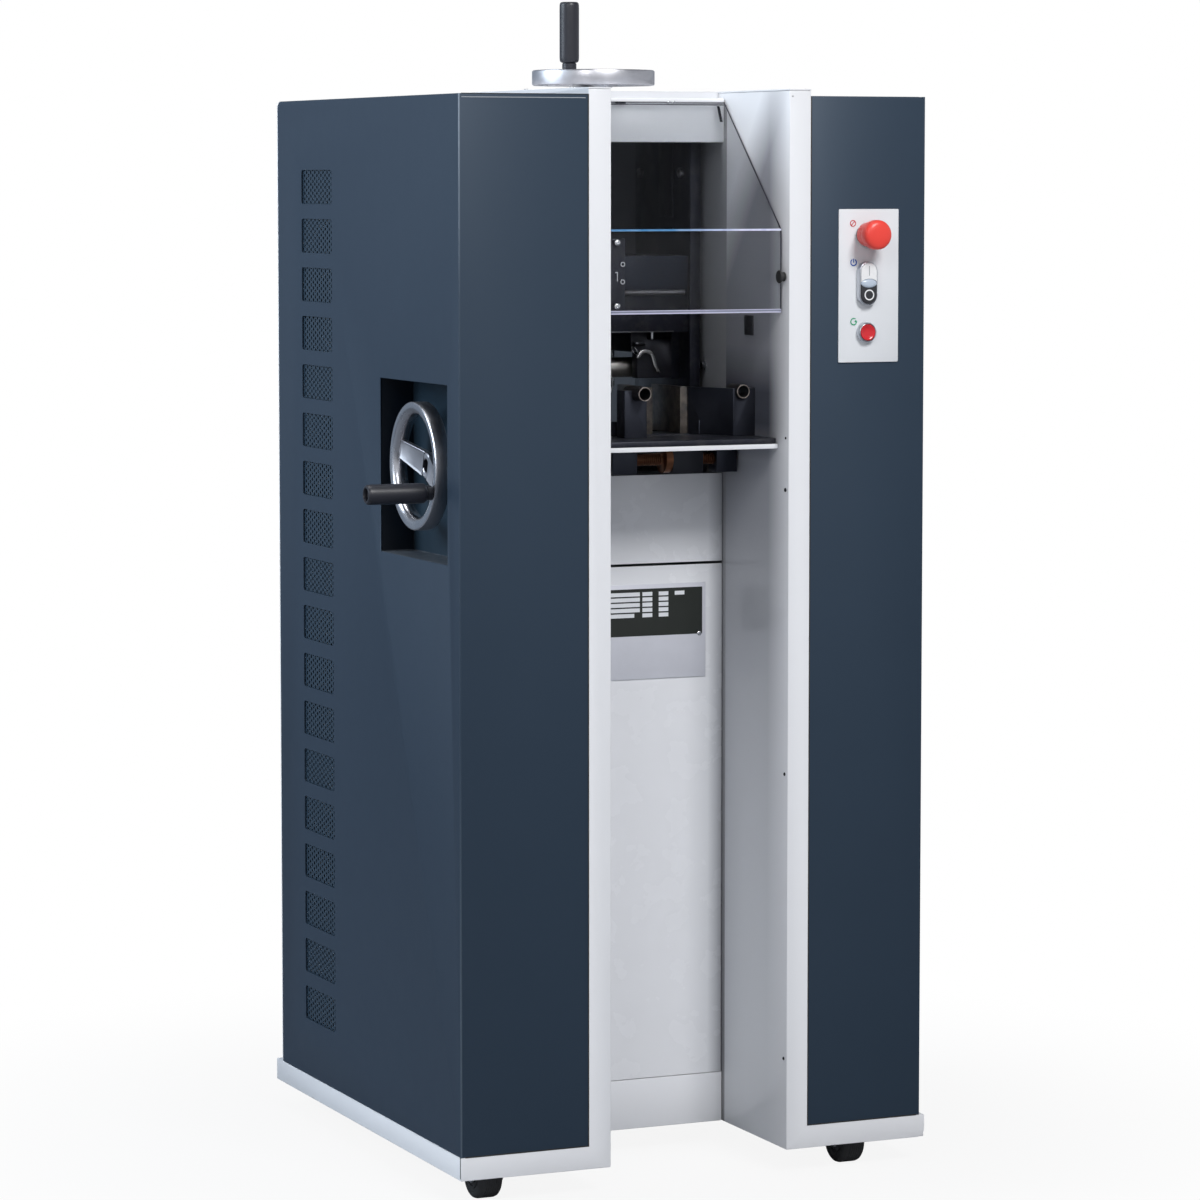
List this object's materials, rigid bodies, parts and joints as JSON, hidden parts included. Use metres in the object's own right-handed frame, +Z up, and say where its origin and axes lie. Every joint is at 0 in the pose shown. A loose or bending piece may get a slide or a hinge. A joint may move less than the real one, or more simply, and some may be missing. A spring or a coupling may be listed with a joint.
{
  "type": "cable stripping machine",
  "caption": "Floor-standing cable stripping machine: two sheet metal columns with a cable path between them, a hand wheel on top and one in the side, a clear guard, controls and casters.",
  "frame": {"origin": "on the floor, in the middle of the outline's footprint", "axes": "+X to the machine's right as the operator sees it, +Y towards the back, +Z up"},
  "size_m": [0.7494, 0.7422, 1.532],
  "materials": {
    "dark_powder_coat": "satin powder coat",
    "white_powder_coat": "gloss powder coat",
    "polished_aluminium": "polished",
    "blackened_steel": "blackened, satin",
    "ground_steel": "ground",
    "bronze": "bright, oiled",
    "black_plastic": "matt",
    "clear_sheet": "clear polycarbonate",
    "red_plastic": "satin",
    "white_plastic": "satin",
    "grey_plastic": "matt",
    "silver_plate": "anodised",
    "motor_grey": "painted",
    "black_rubber": "matt",
    "zinc_steel": "zinc plated"
  },
  "bodies": {
    "cabinet": {"base_frame": "white_powder_coat", "left_inner_wall": "white_powder_coat", "right_inner_wall": "white_powder_coat", "left_cover": "dark_powder_coat", "right_cover": "dark_powder_coat", "wheel_pocket": "dark_powder_coat", "lower_front_panel": "white_powder_coat", "upper_front_panel": "white_powder_coat", "kick_plate": "white_powder_coat", "top_beam": "white_powder_coat", "top_cover": "white_powder_coat", "rear_cover": "white_powder_coat", "table_plate": "white_powder_coat", "table_liner": "blackened_steel", "frame_plate_left": "blackened_steel", "frame_plate_right": "blackened_steel", "top_bridge": "blackened_steel", "gearmotor": "motor_grey", "table_rail": "blackened_steel", "safety_switch": "black_plastic", "control_plate": "white_powder_coat", "wiring_box": "grey_plastic", "estop_collar": "black_plastic", "twin_bezel": "grey_plastic", "reset_bezel": "zinc_steel", "nameplate": "silver_plate", "guard_hinge_rod": "ground_steel", "roller_bearing_left": "ground_steel", "roller_bearing_right": "ground_steel", "front_left_fork": "zinc_steel", "front_right_fork": "zinc_steel"},
    "feed_screw": {"top_handwheel": "polished_aluminium", "feed_spindle": "ground_steel"},
    "top_grip": {"top_wheel_grip": "black_plastic"},
    "carriage": {"carriage": "blackened_steel", "knife_holder": "blackened_steel", "knife_blade": "ground_steel"},
    "upper_roller": {"upper_roller": "ground_steel"},
    "lower_roller": {"lower_roller": "ground_steel"},
    "jaw_drive": {"side_handwheel": "polished_aluminium", "jaw_screw": "bronze"},
    "side_grip": {"side_wheel_grip": "black_plastic"},
    "left_jaw": {"left_jaw": "blackened_steel", "left_guide_tube": "ground_steel"},
    "right_jaw": {"right_jaw": "blackened_steel", "right_guide_tube": "ground_steel"},
    "guard": {"guard_screen": "clear_sheet", "guard_bracket": "blackened_steel", "guard_buffer": "black_rubber"},
    "estop_stem": {"estop_stem": "red_plastic"},
    "estop_head": {"estop_head": "red_plastic"},
    "start_button": {"start_button": "white_plastic"},
    "stop_button": {"stop_button": "black_plastic"},
    "reset_button": {"reset_button": "red_plastic"},
    "rear_left_fork": {"rear_left_fork": "zinc_steel"},
    "rear_right_fork": {"rear_right_fork": "zinc_steel"},
    "front_left_wheel": {"front_left_wheel": "black_rubber"},
    "front_right_wheel": {"front_right_wheel": "black_rubber"},
    "rear_left_wheel": {"rear_left_wheel": "black_rubber"},
    "rear_right_wheel": {"rear_right_wheel": "black_rubber"}
  },
  "joints": [
    {"name": "feed_screw_turn", "type": "hinge", "parent": "cabinet", "child": "feed_screw", "pos_m": [0.05925, 0.04605, 1.4], "axis": [0, 0, 1], "range_deg": [-2640, 2640]},
    {"name": "carriage_slide", "type": "slide", "parent": "cabinet", "child": "carriage", "axis": [0, 0, 1], "range_m": [-0.0445, 0.0445]},
    {"name": "top_grip_spin", "type": "hinge", "parent": "feed_screw", "child": "top_grip", "pos_m": [0.00396, -0.00084, 1.48], "axis": [0, 0, 1], "continuous": true},
    {"name": "upper_roller_spin", "type": "hinge", "parent": "carriage", "child": "upper_roller", "pos_m": [0.05925, -0.01695, 1.0455], "axis": [1, 0, 0], "continuous": true},
    {"name": "lower_roller_spin", "type": "hinge", "parent": "cabinet", "child": "lower_roller", "pos_m": [0.05925, -0.01695, 0.9343], "axis": [1, 0, 0], "continuous": true},
    {"name": "jaw_screw_turn", "type": "hinge", "parent": "cabinet", "child": "jaw_drive", "pos_m": [-0.18575, -0.16495, 0.9305], "axis": [1, 0, 0], "range_deg": [0, 1620]},
    {"name": "left_jaw_slide", "type": "slide", "parent": "cabinet", "child": "left_jaw", "axis": [1, 0, 0], "range_m": [0, 0.018]},
    {"name": "right_jaw_slide", "type": "slide", "parent": "cabinet", "child": "right_jaw", "axis": [-1, 0, 0], "range_m": [0, 0.018]},
    {"name": "side_grip_spin", "type": "hinge", "parent": "jaw_drive", "child": "side_grip", "pos_m": [-0.33575, -0.23097, 0.90055], "axis": [1, 0, 0], "continuous": true},
    {"name": "guard_hinge", "type": "hinge", "parent": "cabinet", "child": "guard", "pos_m": [0.04425, -0.12995, 1.3995], "axis": [-1, 0, 0], "range_deg": [0, 85]},
    {"name": "estop_push", "type": "slide", "parent": "cabinet", "child": "estop_stem", "axis": [0, 1, 0], "range_m": [0, 0.004], "stiffness_N_per_m": 1500, "springref_m": -0.002},
    {"name": "estop_twist", "type": "hinge", "parent": "estop_stem", "child": "estop_head", "pos_m": [0.27985, -0.35695, 1.2257], "axis": [0, -1, 0], "range_deg": [-30, 0], "stiffness_Nm_per_rad": 0.05},
    {"name": "start_push", "type": "slide", "parent": "cabinet", "child": "start_button", "axis": [0, 1, 0], "range_m": [0, 0.003], "stiffness_N_per_m": 800, "springref_m": -0.002},
    {"name": "stop_push", "type": "slide", "parent": "cabinet", "child": "stop_button", "axis": [0, 1, 0], "range_m": [0, 0.003], "stiffness_N_per_m": 800, "springref_m": -0.002},
    {"name": "reset_push", "type": "slide", "parent": "cabinet", "child": "reset_button", "axis": [0, 1, 0], "range_m": [0, 0.0025], "stiffness_N_per_m": 800, "springref_m": -0.002},
    {"name": "front_left_roll", "type": "hinge", "parent": "cabinet", "child": "front_left_wheel", "pos_m": [-0.23825, -0.28295, 0.0318], "axis": [1, 0, 0], "continuous": true},
    {"name": "front_right_roll", "type": "hinge", "parent": "cabinet", "child": "front_right_wheel", "pos_m": [0.27835, -0.28295, 0.0318], "axis": [1, 0, 0], "continuous": true},
    {"name": "rear_left_swivel", "type": "hinge", "parent": "cabinet", "child": "rear_left_fork", "pos_m": [-0.20075, 0.27305, 0.09], "axis": [0, 0, 1], "continuous": true},
    {"name": "rear_left_roll", "type": "hinge", "parent": "rear_left_fork", "child": "rear_left_wheel", "pos_m": [-0.20075, 0.29905, 0.0318], "axis": [1, 0, 0], "continuous": true},
    {"name": "rear_right_swivel", "type": "hinge", "parent": "cabinet", "child": "rear_right_fork", "pos_m": [0.28975, 0.27305, 0.09], "axis": [0, 0, 1], "continuous": true},
    {"name": "rear_right_roll", "type": "hinge", "parent": "rear_right_fork", "child": "rear_right_wheel", "pos_m": [0.28975, 0.29905, 0.0318], "axis": [1, 0, 0], "continuous": true}
  ],
  "couplings": [
    {"joint": "carriage_slide", "follows": "feed_screw_turn", "m_per_rad": 0.00095493},
    {"joint": "left_jaw_slide", "follows": "jaw_screw_turn", "m_per_rad": 0.00063662},
    {"joint": "right_jaw_slide", "follows": "jaw_screw_turn", "m_per_rad": 0.00063662}
  ]
}
